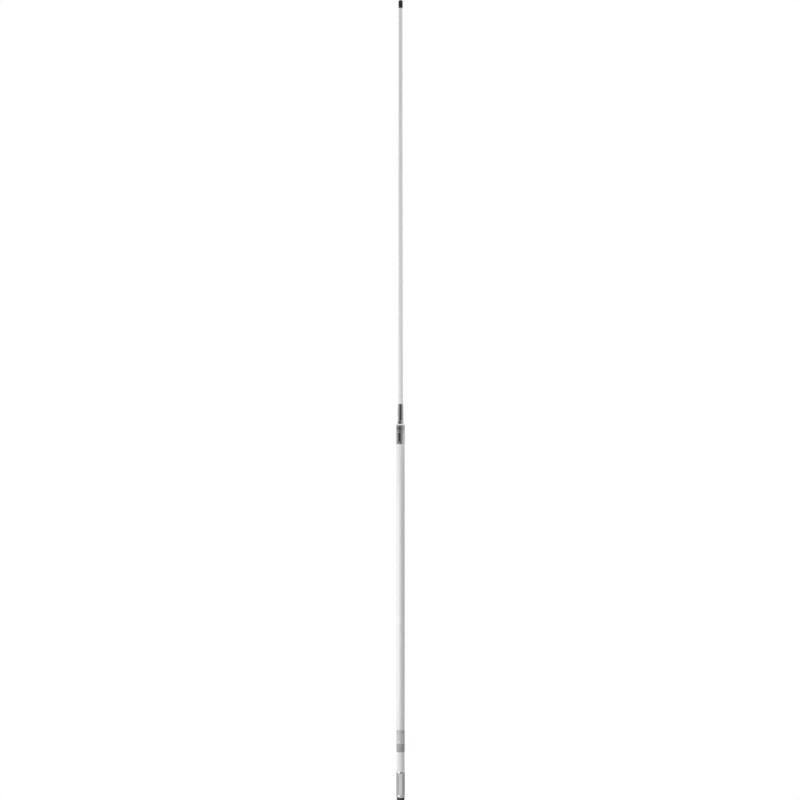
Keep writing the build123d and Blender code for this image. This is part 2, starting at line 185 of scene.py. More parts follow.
def finished_mesh(name, mesh):
    """Weld and smooth a mesh, keep its real corners crisp, and put it in the scene."""
    sharp = math.radians(32)
    bmesh.ops.remove_doubles(mesh, verts=mesh.verts, dist=0.002 * mm)
    bmesh.ops.dissolve_degenerate(mesh, edges=mesh.edges, dist=0.001 * mm)
    bmesh.ops.recalc_face_normals(mesh, faces=mesh.faces)
    for face in mesh.faces:
        face.smooth = True
    for edge in mesh.edges:
        if len(edge.link_faces) == 2 and edge.calc_face_angle() > sharp:
            edge.smooth = False
    data = bpy.data.meshes.new(name)
    mesh.to_mesh(data)
    mesh.free()
    piece = bpy.data.objects.new(name, data)
    bpy.context.scene.collection.objects.link(piece)
    return piece


class Finish:
    """One surface finish: a shader, and short ways to give it grain, tint and relief."""

    def __init__(self, name, colour, roughness, metallic=0.0, ior=1.5, specular=0.5, coat=0.0):
        self.material = bpy.data.materials.new(name)
        self.material.use_nodes = True
        self.nodes = self.material.node_tree.nodes
        self.links = self.material.node_tree.links
        self.shader = self.nodes["Principled BSDF"]
        self.place = self.nodes.new("ShaderNodeTexCoord").outputs["Object"]
        self.relief = None
        self.set("Base Color", (*colour, 1.0))
        self.set("Roughness", roughness)
        self.set("Metallic", metallic)
        self.set("IOR", ior)
        self.set("Specular IOR Level", specular)
        self.set("Coat Weight", coat)

    def set(self, socket, value):
        self.shader.inputs[socket].default_value = value

    def join(self, output, node_input):
        self.links.new(output, node_input)

    def spread(self, value, low, high, from_low=0.3, from_high=0.7):
        """Stretch a value between two limits."""
        node = self.nodes.new("ShaderNodeMapRange")
        self.join(value, node.inputs["Value"])
        node.inputs["From Min"].default_value = from_low
        node.inputs["From Max"].default_value = from_high
        node.inputs["To Min"].default_value = low
        node.inputs["To Max"].default_value = high
        return node.outputs["Result"]

    def grain(self, size, stretch=(1, 1, 1), detail=3.0, rough=0.5):
        """Cloudy grain whose lumps are about size metres across, longer where stretch is over 1."""
        mapping = self.nodes.new("ShaderNodeMapping")
        self.join(self.place, mapping.inputs["Vector"])
        mapping.inputs["Scale"].default_value = [1 / s for s in stretch]
        noise = self.nodes.new("ShaderNodeTexNoise")
        self.join(mapping.outputs["Vector"], noise.inputs["Vector"])
        noise.inputs["Scale"].default_value = 1 / size
        noise.inputs["Detail"].default_value = detail
        noise.inputs["Roughness"].default_value = rough
        return noise.outputs["Fac"]

    def maths(self, operation, first, second=None, third=None):
        """A sum, product or other operation on values or numbers."""
        node = self.nodes.new("ShaderNodeMath")
        node.operation = operation
        for given, node_input in zip((first, second, third), node.inputs):
            if isinstance(given, (int, float)):
                node_input.default_value = given
            elif given is not None:
                self.join(given, node_input)
        return node.outputs["Value"]

    def tint(self, value, low_colour, high_colour):
        """Blend the colour from one to another by a value from 0 to 1."""
        mix = self.nodes.new("ShaderNodeMix")
        mix.data_type = "RGBA"
        self.join(value, mix.inputs["Factor"])
        for colour, node_input in zip((low_colour, high_colour), (mix.inputs[6], mix.inputs[7])):
            if isinstance(colour, tuple):
                node_input.default_value = (*colour, 1.0)
            else:
                self.join(colour, node_input)
        self.join(mix.outputs[2], self.shader.inputs["Base Color"])
        return mix.outputs[2]

    def shine(self, value):
        """Vary the roughness."""
        self.join(value, self.shader.inputs["Roughness"])

    def raise_by(self, value, depth):
        """Raise the surface by up to depth metres where the value is 1."""
        bump = self.nodes.new("ShaderNodeBump")
        bump.inputs["Distance"].default_value = depth
        self.join(value, bump.inputs["Height"])
        if self.relief:
            self.join(self.relief, bump.inputs["Normal"])
        self.relief = bump.outputs["Normal"]
        self.join(self.relief, self.shader.inputs["Normal"])

    def worn_edges(self):
        """How worn the edge is here, from 0 to 1, as turned() left it."""
        node = self.nodes.new("ShaderNodeAttribute")
        node.attribute_name = "wear"
        return node.outputs["Fac"]


def dress(piece, finish):
    """Put one finish all over a piece."""
    piece.data.materials.clear()
    piece.data.materials.append(finish.material)


def moulded(name, colour, pale, roughness, grain_size, grain_depth, specular=0.5):
    """Moulded plastic or rubber: mottled towards pale, if given, with a fine moulded grain."""
    finish = Finish(name, colour, roughness, specular=specular)
    mottle = finish.grain(9 * mm, detail=5.0)
    if pale:
        finish.tint(finish.spread(mottle, 0.0, 1.0), colour, pale)
    finish.shine(finish.spread(mottle, roughness - 0.06, roughness + 0.08))
    finish.raise_by(finish.grain(grain_size, detail=2.0), grain_depth)
    return finish


nylon_black = (0.018, 0.018, 0.019)
black_nylon = moulded("black_nylon", nylon_black, None, 0.46, 0.35 * mm, 0.03 * mm)
# Glass fibres in the nylon show as pale specks, and the mouth's edge is rubbed paler by mounts.
fibres = black_nylon.grain(0.25 * mm, stretch=(1, 1, 4), detail=1.0)
specks = black_nylon.spread(fibres, 0.0, 1.0, 0.72, 0.8)
rubbed_edge = black_nylon.maths("MULTIPLY", black_nylon.worn_edges(), 0.35)
rubbed = black_nylon.maths("MAXIMUM", specks, rubbed_edge)
black_nylon.tint(rubbed, nylon_black, (0.13, 0.13, 0.13))

mount = next(m for m in frame["record"]["mounts"] if m["name"] == "base_thread")
insert_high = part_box("base_insert")[1]
mast_low, mast_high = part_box("mast_tube")
ferrule_low, ferrule_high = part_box("base_ferrule")
glue = 0.02                          # the gap that bonded faces keep
root_r, crest_r = 12.7, mount["dims"]["r_mm"]            # of the mount's thread
thread_foot, thread_top = 0.6, mount["dims"]["length_mm"] + 0.9
mount_pitch, mount_crest_at, mount_crest_flat = 25.4 / 14, 1.2, 0.45
relief_r = 12.9                      # above the thread, for the tap to run out
insert_r = insert_high.x / mm
insert_side_r = insert_r - glue
insert_top = insert_high.z / mm
foot_r = 14.0
foot_top = ferrule_low.z / mm
mast_foot = mast_low.z / mm
spigot_r = 12.0                      # the insert's top, which goes up inside the mast
cable_bore_r = 10.8
jack_hole_r = 7.95
web_low, web_high = 44.0, 50.0       # the web that carries the jack
groove_height, groove_depth = 20.0, 0.8
groove_half, groove_floor = 4.5, 2.0

base_insert = turned(
    "base_insert_shown",
    [
        (root_r, thread_foot, 0),
        (root_r, 0.0, 0.3),
        (foot_r, 0.0, 0.6),
        (foot_r, foot_top - 0.3, 0.1),
        (insert_side_r, foot_top, 0),
        (insert_side_r, groove_height - groove_half, 1.0),
        (insert_side_r - groove_depth, groove_height - groove_floor, 1.5),
        (insert_side_r - groove_depth, groove_height + groove_floor, 1.5),
        (insert_side_r, groove_height + groove_half, 1.0),
        (insert_side_r, mast_foot - glue),
        (spigot_r, mast_foot - glue, 0.1),
        (spigot_r - glue, insert_top),
        (cable_bore_r, insert_top),
        (cable_bore_r, web_high, 0.4),
        (jack_hole_r, web_high, 0.1),
        (jack_hole_r, web_low, 0.1),
        (relief_r, web_low, 0.5),
        (relief_r, thread_top, 0.3),
        (root_r, thread_top, 0),
    ],
    thread=(
        root_r, crest_r, mount_pitch, thread_foot, thread_top, mount_crest_at, mount_crest_flat
    ),
)
dress(base_insert, black_nylon)
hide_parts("base_insert")
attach(base_insert, "mast")


# ---- Cable jack ----
# A bulkhead jack of nickel-plated brass, pushed down through the insert's web and held by a
# toothed washer and a hexagonal nut. Its white insulator grips a slotted brass centre contact.
def plated(name, colour, dull, roughness, lathe_lines=0.004, cloud=0.05):
    """Turned and plated metal: fine lathe lines, faint clouding, and rubbed edges."""
    finish = Finish(name, colour, roughness, metallic=1.0)
    handled = finish.grain(11 * mm, detail=4.0)
    lines = finish.grain(0.22 * mm, stretch=(60, 60, 1), detail=2.0)
    scuffing = finish.grain(1.4 * mm, stretch=(3, 3, 1), detail=6.0, rough=0.7)
    scuffs = finish.spread(scuffing, 0.0, 1.0, 0.62, 0.75)
    rubbed = finish.maths("MULTIPLY", finish.worn_edges(), 0.6)
    marks = finish.maths("MAXIMUM", scuffs, rubbed)
    dulled = finish.maths("MULTIPLY", finish.spread(handled, 0.0, 1.0), cloud * 10)
    finish.tint(dulled, colour, dull)
    base = finish.spread(handled, roughness, roughness + cloud)
    finish.shine(finish.maths("MULTIPLY_ADD", marks, 0.12, base))
    finish.raise_by(lines, lathe_lines * mm)
    return finish


nickel_plate = plated("nickel_plate", (0.66, 0.62, 0.56), (0.5, 0.46, 0.4), 0.22)
contact_brass = plated("contact_brass", (0.82, 0.63, 0.31), (0.6, 0.43, 0.18), 0.22)
ptfe = moulded("ptfe", (0.86, 0.86, 0.83), (0.9, 0.9, 0.88), 0.42, 1.5 * mm, 0.01 * mm)
ptfe.set("Subsurface Weight", 0.25)
ptfe.set("Subsurface Radius", (1.2 * mm, 1.1 * mm, 1.0 * mm))
for node, finish in (
    ("jack_shell", nickel_plate),
    ("jack_nut", nickel_plate),
    ("jack_washer", nickel_plate),
    ("jack_insulator", ptfe),
    ("jack_contact", contact_brass),
):
    dress(frame["nodes"][node], finish)


# ---- Feed cable ----
# A 6 mm coaxial cable from the jack up to the socket: a copper core in milky polyethylene,
# a tinned copper braid and a black jacket. Its ends are soldered.
def height_up(finish):
    """Height above the mount, in metres."""
    split = finish.nodes.new("ShaderNodeSeparateXYZ")
    finish.join(finish.place, split.inputs["Vector"])
    return split.outputs["Z"]


def angle_round(finish):
    """Angle round the antenna, in radians."""
    split = finish.nodes.new("ShaderNodeSeparateXYZ")
    finish.join(finish.place, split.inputs["Vector"])
    return finish.maths("ARCTAN2", split.outputs["Y"], split.outputs["X"])


copper = plated("copper", (0.86, 0.44, 0.27), (0.5, 0.22, 0.12), 0.26)
jacket_black, jacket_pale = (0.02, 0.02, 0.021), (0.035, 0.035, 0.036)
cable_jacket = moulded("cable_jacket", jacket_black, jacket_pale, 0.4, 0.8 * mm, 0.02 * mm)
cable_jacket.raise_by(cable_jacket.grain(0.5 * mm, stretch=(1, 1, 200), detail=1.0), 0.02 * mm)
milky, milky_pale = (0.82, 0.82, 0.78), (0.88, 0.88, 0.85)
dielectric = moulded("cable_dielectric", milky, milky_pale, 0.5, 0.4 * mm, 0.02 * mm)
dielectric.set("Subsurface Weight", 0.3)
dielectric.set("Subsurface Radius", (1.0 * mm, 1.0 * mm, 0.9 * mm))

# Two sets of wires wind opposite ways round the cable, over and under each other.
tinned_braid = Finish("tinned_braid", (0.62, 0.62, 0.61), 0.32, metallic=1.0)
braid_starts = 8
braid_lead = 18 * mm
waves_up = braid_starts * math.tau / braid_lead
wires = []
for way in (1, -1):
    winding = tinned_braid.maths("MULTIPLY", angle_round(tinned_braid), way * braid_starts)
    climbed = tinned_braid.maths("MULTIPLY_ADD", height_up(tinned_braid), waves_up, winding)
    wires.append(tinned_braid.maths("SINE", climbed))
over = tinned_braid.maths("MAXIMUM", *wires)
tinned_braid.raise_by(tinned_braid.spread(over, 0.0, 1.0, -1.0, 1.0), 0.15 * mm)
# Painted shade: the wires' colour darkens where they dip under the other set, in the hollows of the
# weave.
painted_weave_shade = tinned_braid.spread(over, 0.0, 1.0, -0.4, 0.7)
tinned_braid.tint(painted_weave_shade, (0.25, 0.25, 0.24), (0.66, 0.66, 0.65))
for node, finish in (
    ("coax_core", copper),
    ("coax_dielectric", dielectric),
    ("coax_braid", tinned_braid),
    ("coax_jacket", cable_jacket),
):
    dress(frame["nodes"][node], finish)


# ---- Mast spacers and decoupling sleeve ----
# A thin brass tube, a quarter wave long, hangs round the top of the cable. It is soldered to
# the mast ferrule, and a plastic bush centres its open end. Foam discs centre all of it.
sleeve_brass = plated("sleeve_brass", (0.78, 0.55, 0.24), (0.45, 0.29, 0.12), 0.3, cloud=0.08)
beige, pale_beige = (0.62, 0.6, 0.54), (0.68, 0.66, 0.6)
bush_plastic = moulded("bush_plastic", beige, pale_beige, 0.45, 0.6 * mm, 0.01 * mm)
foam = Finish("spacer_foam", (0.8, 0.79, 0.74), 0.85, specular=0.2)
cell_size = 0.9 * mm
cells = foam.nodes.new("ShaderNodeTexVoronoi")
cells.inputs["Scale"].default_value = 1 / cell_size
foam.join(foam.place, cells.inputs["Vector"])
from_cell = cells.outputs["Distance"]
foam.raise_by(foam.spread(from_cell, 1.0, 0.0, 0.0, 0.6), 0.25 * mm)
# Painted shade: the foam is coloured darker between the raised cells, in the hollows.
foam.tint(foam.spread(from_cell, 1.0, 0.0, 0.0, 0.7), (0.58, 0.57, 0.52), (0.85, 0.84, 0.8))
for node, finish in (
    ("decoupling_sleeve", sleeve_brass),
    ("sleeve_bush", bush_plastic),
    ("mast_spacers", foam),
    ("sleeve_spacers", foam),
):
    dress(frame["nodes"][node], finish)


# ---- Mast tube ----
# A straight glass-fibre tube, 30 mm across, laid up round a mandrel, ground, and sprayed with
# white polyurethane. It is bonded over the insert below and over the mast ferrule's boss above.
def painted_fibreglass(name):
    """Sprayed white gloss over glass fibre, whose long strands show through faintly."""
    finish = Finish(name, (0.88, 0.88, 0.87), 0.2, ior=1.48, coat=0.35)
    finish.set("Coat Roughness", 0.06)
    strands = finish.grain(1.1 * mm, stretch=(1, 1, 45), detail=3.0)
    clouds = finish.grain(60 * mm, stretch=(1, 1, 3), detail=5.0)
    shade = finish.maths("MULTIPLY_ADD", strands, 0.5, finish.maths("MULTIPLY", clouds, 0.5))
    whiteness = finish.spread(shade, 0.0, 1.0, 0.35, 0.65)
    finish.tint(whiteness, (0.855, 0.857, 0.85), (0.905, 0.905, 0.9))
    finish.shine(finish.spread(clouds, 0.15, 0.26))
    finish.raise_by(strands, 0.018 * mm)
    finish.raise_by(finish.grain(2.6 * mm, detail=1.0), 0.03 * mm)
    return finish


def tube_wall(outline_low, outline_high, step=120.0):
    """Corners up the outside of a tube, one every step millimetres, with no easing."""
    (low_r, low), (high_r, high) = outline_low, outline_high
    count = math.ceil((high - low) / step)
    return [
        (low_r + (high_r - low_r) * i / count, low + (high - low) * i / count, 0)
        for i in range(1, count)
    ]


mast_paint = painted_fibreglass("mast_paint")
mast_r = mast_high.x / mm
mast_side_r = mast_r - glue
mast_bore = spigot_r + glue
mast_top = mast_high.z / mm
mast_tube = turned(
    "mast_tube_shown",
    [
        (mast_side_r, mast_foot, 0.4),
        *tube_wall((mast_side_r, mast_foot), (mast_side_r, mast_top)),
        (mast_side_r, mast_top, 0.4),
        (mast_bore, mast_top, 0.4),
        *reversed(tube_wall((mast_bore, mast_foot), (mast_bore, mast_top))),
        (mast_bore, mast_foot, 0.4),
    ],
)
dress(mast_tube, mast_paint)
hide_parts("mast_tube")
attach(mast_tube, "mast")


# ---- Base ferrule and its pins ----
# A stainless tube, 1 1/4 in across, polished and slipped over the mast's foot. A rolled groove
# grips the insert, and four pins pressed through the mast's wall stop it from turning.
bright_steel, dull_steel = (0.6, 0.592, 0.58), (0.52, 0.512, 0.5)
polished_steel = plated("polished_steel", bright_steel, dull_steel, 0.13, lathe_lines=0.003)
ferrule_r = ferrule_high.x / mm
ferrule_top = ferrule_high.z / mm
ferrule_middle = 60.0
ferrule_bore = insert_r
rim_chamfer = 0.5
taper_tall, taper_lip = 4.0, 0.3     # the top edge, turned down nearly to the mast
outer_floor = 1.6                    # half the rolled groove's floor, seen from outside
base_ferrule = turned(
    "base_ferrule_shown",
    [
        (ferrule_bore, foot_top + glue, 0.1),
        (ferrule_r - rim_chamfer, foot_top + glue, 0.3),
        (ferrule_r, foot_top + 0.6, 0.3),
        (ferrule_r, groove_height - groove_half, 1.5),
        (ferrule_r - groove_depth, groove_height - outer_floor, 2.0),
        (ferrule_r - groove_depth, groove_height + outer_floor, 2.0),
        (ferrule_r, groove_height + groove_half, 1.5),
        (ferrule_r, ferrule_middle, 0),
        (ferrule_r, ferrule_top - taper_tall, 1.2),
        (ferrule_bore + taper_lip, ferrule_top, 0.15),
        (ferrule_bore, ferrule_top, 0.05),
        (ferrule_bore, ferrule_middle, 0),
        (ferrule_bore, groove_height + groove_half, 1.5),
        (ferrule_bore - groove_depth, groove_height + outer_floor, 2.0),
        (ferrule_bore - groove_depth, groove_height - outer_floor, 2.0),
        (ferrule_bore, groove_height - groove_half, 1.5),
    ],
    ease=0.15,
)
dress(base_ferrule, polished_steel)
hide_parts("base_ferrule")
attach(base_ferrule, "mast")

pins_low, pins_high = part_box("ferrule_pins")
pin_r = (pins_high.z - pins_low.z) / 2 / mm
pin_height = (pins_high.z + pins_low.z) / 2
pin_reach = ferrule_r + 0.25         # the heads stand a little proud
pin_steel = plated("pin_steel", (0.58, 0.57, 0.55), (0.42, 0.41, 0.4), 0.28)
pin_outline = [
    (0, mast_bore),
    (pin_r, mast_bore, 0.2),
    (pin_r, pin_reach - 0.12, 0.12),
    (0.6 * pin_r, pin_reach - 0.03, 0.3),
    (0, pin_reach),
]
lay_over = Matrix.Rotation(math.radians(90), 4, "Y")
pin_parts = []
for quarter in range(4):
    pin = turned(f"pin_{quarter}", pin_outline, round_by=40)
    outward = Matrix.Rotation(math.radians(45 + 90 * quarter), 4, "Z")
    pin.data.transform(Matrix.Translation((0, 0, pin_height)) @ outward @ lay_over)
    pin_parts.append(pin)


def joined(name, parts):
    """Make several loose meshes one piece."""
    mesh = bmesh.new()
    for part in parts:
        mesh.from_mesh(part.data)
        bpy.data.objects.remove(part)
    return finished_mesh(name, mesh)


ferrule_pins = joined("ferrule_pins_shown", pin_parts)
dress(ferrule_pins, pin_steel)
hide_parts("ferrule_pins")
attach(ferrule_pins, "mast")


# ---- Label ----
# A vinyl wrap stuck round the mast low down, with no wording: a pale grey panel with a plain
# white spot over a green-grey block. Its ends lap over each other at the back.
label_low, label_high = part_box("label_wrap")
label_bottom, label_top = label_low.z, label_high.z
label_r = label_high.x / mm
lap_start = math.radians(78)
lap_end = math.radians(97)
lap_lift = 0.09
block_top = label_bottom + 31.5 * mm


def lapped(radius, height, angle):
    """Lift the wrap's top layer where it laps over its other end."""
    if radius <= mast_r or not lap_start < angle % math.tau < lap_end:
        return radius
    return radius + lap_lift


label_wrap = turned(
    "label_wrap_shown",
    [
        (mast_r, label_bottom / mm, 0),
        (label_r, label_bottom / mm, 0.08),
        *tube_wall((label_r, label_bottom / mm), (label_r, label_top / mm), step=20.0),
        (label_r, label_top / mm, 0.08),
        (mast_r, label_top / mm, 0),
    ],
    shape=lapped,
    round_by=360,
)
label_vinyl = Finish("label_vinyl", (0.6, 0.6, 0.6), 0.34, coat=0.15)
label_vinyl.set("Coat Roughness", 0.12)
panel_colour = (0.61, 0.61, 0.6, 1.0)
frame_colour = (0.52, 0.525, 0.52, 1.0)
gap_colour = (0.74, 0.74, 0.73, 1.0)
block_colour = (0.36, 0.4, 0.375, 1.0)
label_tall = label_top - label_bottom
block_tall = block_top - label_bottom
margin = 1.2 * mm
print_bands = [
    (0.0, gap_colour),
    (margin, block_colour),
    (block_tall, gap_colour),
    (block_tall + 2.2 * mm, frame_colour),
    (block_tall + 3.0 * mm, panel_colour),
    (label_tall - 14.0 * mm, frame_colour),
    (label_tall - margin, gap_colour),
]


def ramp_of(nodes, links, share, stops):
    """Blend through colours, each given with its place from 0 to 1."""
    ramp = nodes.new("ShaderNodeValToRGB")
    links.new(share, ramp.inputs["Fac"])
    for i, (place, colour) in enumerate(stops):
        stop = ramp.color_ramp.elements[i] if i < 2 else ramp.color_ramp.elements.new(place)
        stop.position = place
        stop.color = colour
    return ramp


up_label = label_vinyl.spread(height_up(label_vinyl), 0.0, 1.0, label_bottom, label_top)
band_stops = [(height / label_tall, colour) for height, colour in print_bands]
bands = ramp_of(label_vinyl.nodes, label_vinyl.links, up_label, band_stops)
bands.color_ramp.interpolation = "CONSTANT"
spot_left, spot_up, spot_r = 5.4, 7.5 * mm, 3.2 * mm
spot_front = math.sqrt(label_r**2 - spot_left**2)
spot_place = Vector((-spot_left * mm, -spot_front * mm, block_top + spot_up))
print_edge = 0.05 * mm
from_spot = label_vinyl.nodes.new("ShaderNodeVectorMath")
from_spot.operation = "DISTANCE"
label_vinyl.join(label_vinyl.place, from_spot.inputs[0])
from_spot.inputs[1].default_value = spot_place
off_spot = from_spot.outputs["Value"]
in_spot = label_vinyl.spread(off_spot, 1.0, 0.0, spot_r - print_edge, spot_r + print_edge)
# The print stops short of the wrap's outer end, which leaves a thin white margin.
bare_half, bare_edge = 0.03, 0.002
past_end = label_vinyl.maths("SUBTRACT", angle_round(label_vinyl), lap_end - bare_half)
off_end = label_vinyl.maths("ABSOLUTE", past_end)
in_margin = label_vinyl.spread(off_end, 1.0, 0.0, bare_half - bare_edge, bare_half + bare_edge)
unprinted = label_vinyl.maths("MAXIMUM", in_spot, in_margin)
printed = label_vinyl.tint(unprinted, bands.outputs["Color"], (0.84, 0.84, 0.83))
fade = label_vinyl.spread(label_vinyl.grain(14 * mm, detail=6.0), 0.0, 0.1)
label_vinyl.tint(fade, printed, (0.8, 0.79, 0.76))
label_vinyl.shine(label_vinyl.spread(label_vinyl.grain(5 * mm, detail=4.0), 0.3, 0.42))
label_vinyl.raise_by(label_vinyl.grain(0.6 * mm, detail=2.0), 0.006 * mm)
dress(label_wrap, label_vinyl)
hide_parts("label_wrap")
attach(label_wrap, "mast")


# ---- Mast ferrule ----
# Chrome-plated brass, turned from bar and bonded into the mast's top. Above its shoulder stands
# the threaded neck that the coupling nut screws down on, with the coaxial socket inside it.
bright_chrome, dull_chrome = (0.62, 0.63, 0.64), (0.56, 0.565, 0.57)
chrome_plate = plated(
    "chrome_plate", bright_chrome, dull_chrome, 0.07, lathe_lines=0.0015, cloud=0.02
)
fit_low, fit_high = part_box("mast_ferrule")
fit_foot, neck_top = fit_low.z / mm, fit_high.z / mm
joint = neck_top - 20.0              # where the ferrule and the nut meet
split_gap = 0.2
taper_top = fit_foot + 11.0
thread_pitch = 2.0
neck_core, neck_crest, neck_flat = 12.27, 13.4, 0.25
neck_low, neck_high = joint + 3.0, joint + 19.0
neck_crest_at = joint + 4.0
seal_seat_r, seal_seat_top = 12.2, joint + 2.9
socket_r, socket_floor = 9.0, joint + 2.0
socket_white_r, socket_white_foot = 7.0, joint - 17.0    # its white insulator
braid_hole_r, jacket_hole_r = 2.36, 3.06                 # for the feed cable
jacket_end = joint - 33.0
boss_foot = joint - 31.0
sleeve_seat_r, sleeve_seat_foot = 7.5, joint - 43.0      # the decoupling sleeve fits over it
mast_ferrule = turned(
    "mast_ferrule_shown",
    [
        (neck_core, neck_low, 0),
        (seal_seat_r, seal_seat_top, 0.2),
        (seal_seat_r, joint - split_gap, 0.2),
        (ferrule_r - rim_chamfer, joint - split_gap, 0.2),
        (ferrule_r, joint - split_gap - rim_chamfer, 0.25),
        (ferrule_r, taper_top, 1.2),
        (mast_r + taper_lip, fit_foot, 0.15),
        (mast_r, fit_foot, 0.05),
        (mast_r, mast_top, 0.1),
        (spigot_r, mast_top, 0.1),
        (spigot_r, boss_foot, 0.4),
        (sleeve_seat_r, boss_foot, 0.1),
        (sleeve_seat_r, sleeve_seat_foot, 0.4),
        (jacket_hole_r, sleeve_seat_foot, 0.3),
        (jacket_hole_r, jacket_end, 0.1),
        (braid_hole_r, jacket_end, 0.1),
        (braid_hole_r, socket_white_foot, 0.1),
        (socket_white_r, socket_white_foot, 0.1),
        (socket_white_r, socket_floor, 0.1),
        (socket_r, socket_floor, 0.3),
        (socket_r, neck_top, 0.5),
        (neck_core - 1.0, neck_top, 0.3),
        (neck_core, neck_high, 0),
    ],
    ease=0.15,
    thread=(neck_core, neck_crest, thread_pitch, neck_low, neck_high, neck_crest_at, neck_flat),
)
dress(mast_ferrule, chrome_plate)
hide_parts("mast_ferrule")
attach(mast_ferrule, "mast")
dress(frame["nodes"]["socket_insulator"], ptfe)
dress(frame["nodes"]["socket_contact"], contact_brass)

# A black O-ring lies at the root of the neck and keeps water out of the thread.
seal_black, seal_pale = (0.018, 0.018, 0.018), (0.03, 0.03, 0.03)
seal_rubber = moulded("seal_rubber", seal_black, seal_pale, 0.5, 0.3 * mm, 0.01 * mm)
seal_low, seal_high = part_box("neck_seal")
cord_r = (seal_high.z - seal_low.z) / 2 / mm
seal_r = seal_high.x / mm - cord_r
seal_height = (seal_high.z + seal_low.z) / 2 / mm
cord_sides = 28
neck_seal = turned(
    "neck_seal_shown",
    [
        (seal_r + cord_r * math.cos(a), seal_height + cord_r * math.sin(a), 0)
        for a in (math.tau * i / cord_sides for i in range(cord_sides))
    ],
)
dress(neck_seal, seal_rubber)
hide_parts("neck_seal")
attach(neck_seal, "mast")


# ---- Radiators and phasing coil ----
# A quarter-wave and a half-wave copper rod, joined through a coil wound on a white former, run
# up the middle of the whip. Foam discs keep them off its wall.
for node, finish in (
    ("lower_radiator", copper),
    ("upper_radiator", copper),
    ("phasing_coil", copper),
    ("coil_former", ptfe),
    ("whip_spacers", foam),
):
    dress(frame["nodes"][node], finish)


# ---- Whip tube ----
# A slim glass-fibre tube, rolled on a tapered mandrel and sprayed like the mast. Its foot is
# bonded into the whip ferrule, and the cap is pushed over its tip.
whip_paint = painted_fibreglass("whip_paint")
whip_low, whip_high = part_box("whip_tube")
whip_fit_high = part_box("whip_ferrule")[1]
whip_foot, whip_tip = whip_low.z / mm, whip_high.z / mm
whip_foot_r = whip_high.x / mm
whip_side_r = whip_foot_r - glue
whip_tip_r = 7.0
whip_bore, whip_tip_bore = 6.4, 4.8
whip_fit_top = whip_fit_high.z / mm
taper_start = whip_fit_top + 5.0
whip_tube = turned(
    "whip_tube_shown",
    [
        (whip_side_r, whip_foot, 0.3),
        (whip_side_r, taper_start, 0),
        *tube_wall((whip_side_r, taper_start), (whip_tip_r, whip_tip)),
        (whip_tip_r, whip_tip, 0.3),
        (whip_tip_bore, whip_tip, 0.3),
        *reversed(tube_wall((whip_bore, taper_start), (whip_tip_bore, whip_tip))),
        (whip_bore, taper_start, 0),
        (whip_bore, whip_foot, 0.3),
    ],
)
dress(whip_tube, whip_paint)
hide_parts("whip_tube")
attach(whip_tube, "whip")


# ---- Whip ferrule and plug ----
# A tapered, chrome-plated brass ferrule with two wrench flats. Its spigot runs down through the
# coupling nut to a flange, and the coaxial plug under that screws up inside it.
flats_low, flats_high = joint + 47.0, joint + 59.0
half_across_flats = 10.0
flat_step, flat_hold = 0.1, 0.4      # how tall a flat's end is, and the plain wall past it
whip_spigot_r, whip_spigot_foot = 7.99, joint + 24.52
stud_bore_r = 5.51                   # the plug's stud screws in here
whip_fit_foot = joint + 43.0
whip_fit_middle = joint + 80.0
whip_fit_r, whip_fit_top_r = 11.3, 9.75


def with_wrench_flats(radius, height, angle):
    """Mill two flats, square to X, between two heights."""
    if radius < half_across_flats or not flats_low <= height <= flats_high:
        return radius
    return min(radius, half_across_flats / max(abs(math.cos(angle)), 0.1))


def ferrule_wall(height):
    """The ferrule's tapering outside at a height, left sharp."""
    share = (height - whip_fit_foot) / (whip_fit_top - whip_fit_foot)
    return whip_fit_r + (whip_fit_top_r - whip_fit_r) * share, height, 0


whip_ferrule = turned(
    "whip_ferrule_shown",
    [
        (stud_bore_r, whip_spigot_foot, 0.1),
        (whip_spigot_r, whip_spigot_foot, 0.1),
        (whip_spigot_r, whip_fit_foot, 0.2),
        (whip_fit_r - 0.4, whip_fit_foot, 0.15),
        (whip_fit_r, whip_fit_foot + 0.4, 0.15),
        ferrule_wall(flats_low - flat_step - flat_hold),
        ferrule_wall(flats_low - flat_step),
        ferrule_wall(flats_low),
        ferrule_wall(flats_low + flat_hold),
        ferrule_wall(flats_high - flat_hold),
        ferrule_wall(flats_high),
        ferrule_wall(flats_high + flat_step),
        ferrule_wall(flats_high + flat_step + flat_hold),
        ferrule_wall(whip_fit_middle),
        (whip_fit_top_r, whip_fit_top - 0.9, 0.5),
        (whip_foot_r + 0.4, whip_fit_top, 0.2),
        (whip_foot_r, whip_fit_top, 0.05),
        (whip_foot_r, whip_foot, 0.05),
        (stud_bore_r, whip_foot, 0.1),
    ],
    ease=0.15,
    shape=with_wrench_flats,
    round_by=360,
)
dress(whip_ferrule, chrome_plate)
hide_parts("whip_ferrule")
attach(whip_ferrule, "whip")
for node, finish in (
    ("plug_shell", nickel_plate),
    ("plug_insulator", ptfe),
    ("plug_pin", contact_brass),
    ("plug_seal", seal_rubber),
    ("slip_washer", ptfe),
):
    dress(frame["nodes"][node], finish)


